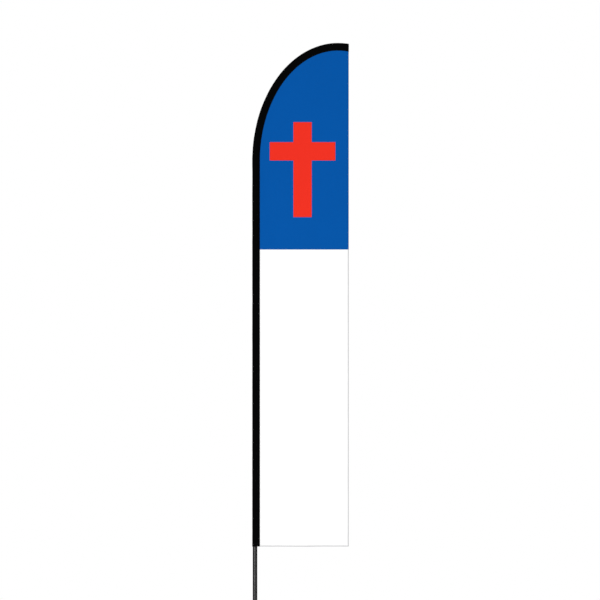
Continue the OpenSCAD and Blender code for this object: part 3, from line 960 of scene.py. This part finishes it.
def make_tab():
    """Webbing that is sewn to the back of the sleeve and hooks over the pole's button."""
    width = TAB_HI.x - TAB_LO.x
    half = width / 2
    thick = TAB_HI.y - TAB_LO.y
    flat_y = TAB_LO.y
    eyelet_z = (EYELET_LO.z + EYELET_HI.z) / 2
    hole_r = 0.0052
    zs = np.arange(TAB_LO.z, TAB_HI.z + 1e-6, 0.0015)
    xs = np.linspace(-half, half, 17)
    verts, index = [], {}
    for layer in (0, 1):
        for r, z in enumerate(zs):
            wrap = float(smooth((z - (HEM_Z - 0.02)) / 0.02))
            for c, x in enumerate(xs):
                round_y = math.sqrt((NOSE_R + 0.0008) ** 2 - x * x)
                y = flat_y * (1 - wrap) + round_y * wrap + layer * thick
                rib = 0.00012 * math.cos(2 * math.pi * x / 0.0025) * (1 if layer else -1)
                px, pz = x, z
                away = math.hypot(x, z - eyelet_z)
                if away < hole_r:
                    share = hole_r / max(away, 1e-6)
                    px, pz = x * share, eyelet_z + (z - eyelet_z) * share
                index[layer, r, c] = len(verts)
                verts.append((px, y + rib, pz))
    rows, cols = len(zs), len(xs)

    def in_hole(r, c):
        z, x = (zs[r] + zs[r + 1]) / 2 - eyelet_z, (xs[c] + xs[c + 1]) / 2
        return math.hypot(x, z) < hole_r

    faces = []
    open_cells = {(r, c) for r in range(rows - 1) for c in range(cols - 1) if in_hole(r, c)}
    for r in range(rows - 1):
        for c in range(cols - 1):
            if (r, c) in open_cells:
                continue
            for layer in (0, 1):
                quad = (index[layer, r, c], index[layer, r, c + 1],
                        index[layer, r + 1, c + 1], index[layer, r + 1, c])
                faces.append(tuple(reversed(quad)) if layer else quad)
            for dr, dc, a, b in ((-1, 0, (0, 0), (0, 1)), (1, 0, (1, 1), (1, 0)),
                                 (0, -1, (1, 0), (0, 0)), (0, 1, (0, 1), (1, 1))):
                other = (r + dr, c + dc)
                outside = not (0 <= other[0] < rows - 1 and 0 <= other[1] < cols - 1)
                if outside or other in open_cells:
                    p, q = (r + a[0], c + a[1]), (r + b[0], c + b[1])
                    faces.append((index[0, p[0], p[1]], index[1, p[0], p[1]],
                                  index[1, q[0], q[1]], index[0, q[0], q[1]]))
    used = sorted({i for f in faces for i in f})
    renumber = {i: n for n, i in enumerate(used)}
    tab = add_mesh("tension_tab_webbing", [verts[i] for i in used],
                   [tuple(renumber[i] for i in f) for f in faces])
    finish_piece(tab, "black_webbing")
    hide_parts("tension_tab")
    box_x = half - 0.003
    z0, z1 = HEM_Z + 0.006, TAB_HI.z - 0.004
    corners = [(-box_x, z0), (box_x, z0), (box_x, z1), (-box_x, z1), (-box_x, z0), (box_x, z1)]
    sewn = []
    for line in (corners, [(-box_x, z1), (box_x, z0)]):
        flat = resample(np.array(line), 0.002)
        reach = NOSE_R + 0.0008 + thick + 0.0002
        y = np.sqrt((NOSE_R + 0.0008) ** 2 - flat[:, 0] ** 2) + thick + 0.0002
        up = np.stack([flat[:, 0] / reach, y / reach, np.zeros(len(flat))], -1)
        sewn.append((np.stack([flat[:, 0], y, flat[:, 1]], -1), up))
    sewing = stitches("tab_stitches", sewn, "black_cloth")
    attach(sewing, FLAG_BODY)


def weld_bead(name, radius, z, size, upward, material):
    """Ring of overlapping weld ripples in the corner between a round piece and the plate."""
    around, corners = 150, 8
    verts = []
    for i in range(around):
        a = 2 * math.pi * i / around
        unrest = noise.noise((5 * math.cos(a), 5 * math.sin(a), 90 * radius))
        ripple = 1 + 0.14 * math.sin(30 * a) + 0.06 * unrest
        for j in range(corners):
            t = math.pi / 2 * j / (corners - 1)
            out = size * ripple * (1 - 0.25 * math.sin(2 * t))
            rr = radius - 0.0003 + out * math.cos(t)
            zz = z + upward * (out * math.sin(t) - 0.0003)
            verts.append((rr * math.cos(a), rr * math.sin(a), zz))
        root = radius - 0.0008
        verts.append((root * math.cos(a), root * math.sin(a), z - upward * 0.0004))
    faces = ring_faces(around, corners + 1, closed=True)
    if upward < 0:
        faces = [tuple(reversed(f)) for f in faces]
    bead = add_mesh(name, verts, faces)
    bead.data.materials.append(material)
    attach(bead, "stake")


# ---------- studio ----------

PICTURE_SPAN = 3.9
PICTURE_X = 0.2925
PICTURE_Z = 1.989
LENS = 200.0
SENSOR = 36.0


def make_camera():
    camera = bpy.data.objects.new("camera", bpy.data.cameras.new("camera"))
    camera.data.lens = LENS
    camera.data.sensor_width = SENSOR
    camera.data.clip_end = 200
    camera.location = (PICTURE_X, -PICTURE_SPAN * LENS / SENSOR, PICTURE_Z)
    camera.rotation_euler = (math.radians(90), 0, 0)
    bpy.context.scene.collection.objects.link(camera)
    bpy.context.scene.camera = camera


EVEN_LIGHT = 0.14
LIGHT_LOBES = (("Y", -1, 1.13), ("Y", 1, 0.1), ("Z", 1, 0.9))


def make_world():
    """White to look at. As light it is even and dim, with soft lobes from in front and above."""
    world = bpy.data.worlds.new("studio")
    world.use_nodes = True
    tree = world.node_tree
    direction = tree.nodes.new("ShaderNodeSeparateXYZ")
    coord = tree.nodes.new("ShaderNodeTexCoord")
    tree.links.new(coord.outputs["Generated"], direction.inputs[0])
    level = EVEN_LIGHT
    for axis, sign, strength in LIGHT_LOBES:
        towards = math_node(tree, "MULTIPLY", direction.outputs[axis], sign)
        towards = math_node(tree, "MAXIMUM", towards, 0.0)
        squared = math_node(tree, "MULTIPLY", towards, towards)
        level = math_node(tree, "MULTIPLY_ADD", squared, strength, level)
    path = tree.nodes.new("ShaderNodeLightPath")
    to_white = math_node(tree, "SUBTRACT", 1.0, level)
    seen = math_node(tree, "MULTIPLY_ADD", path.outputs["Is Camera Ray"], to_white, level)
    background = tree.nodes["Background"]
    background.inputs["Color"].default_value = (1, 1, 1, 1)
    tree.links.new(seen, background.inputs["Strength"])
    bpy.context.scene.world = world


def make_studio():
    make_world()
    bpy.context.scene.view_settings.view_transform = "Standard"
    for name, place, size, power, glossy in (
        ("key strip", (-1.9, -6.6, 1.2), (1.0, 4.2), 138.0, True),
        ("back fill", (1.5, 7.0, 1.7), (3.0, 3.6), 420.0, False),
    ):
        light = bpy.data.objects.new(name, bpy.data.lights.new(name, "AREA"))
        light.visible_glossy = glossy
        light.data.shape = "RECTANGLE"
        light.data.size, light.data.size_y = size
        light.data.energy = power
        light.location = place
        aim = Vector((PICTURE_X, 0, place[2]))
        light.rotation_euler = (Vector(place) - aim).to_track_quat("Z", "Y").to_euler()
        bpy.context.scene.collection.objects.link(light)
    sides, radius = 96, 4.5
    floor_z = SPIKE_LO.z - 0.001
    turns = np.linspace(0, 2 * math.pi, sides, endpoint=False)
    ring = [(radius * math.cos(a), radius * math.sin(a), floor_z) for a in turns]
    floor = add_mesh("floor", ring, [tuple(range(sides))])
    floor.data.materials.append(plain_floor("floor"))


# ---------- build ----------

make_camera()
dress_cad_nodes()
SWAY = sway_field()
make_flag()
make_sleeve()
make_button_spring()
make_tab()
weld = weld_metal("weld_metal", (0.4, 0.39, 0.38))
weld_bead("housing_weld", HOUSING_HI.x, PLATE_HI.z, 0.0028, 1, weld)
weld_bead("spike_weld", SPIKE_HI.x, PLATE_LO.z, 0.0026, -1, weld)
make_studio()
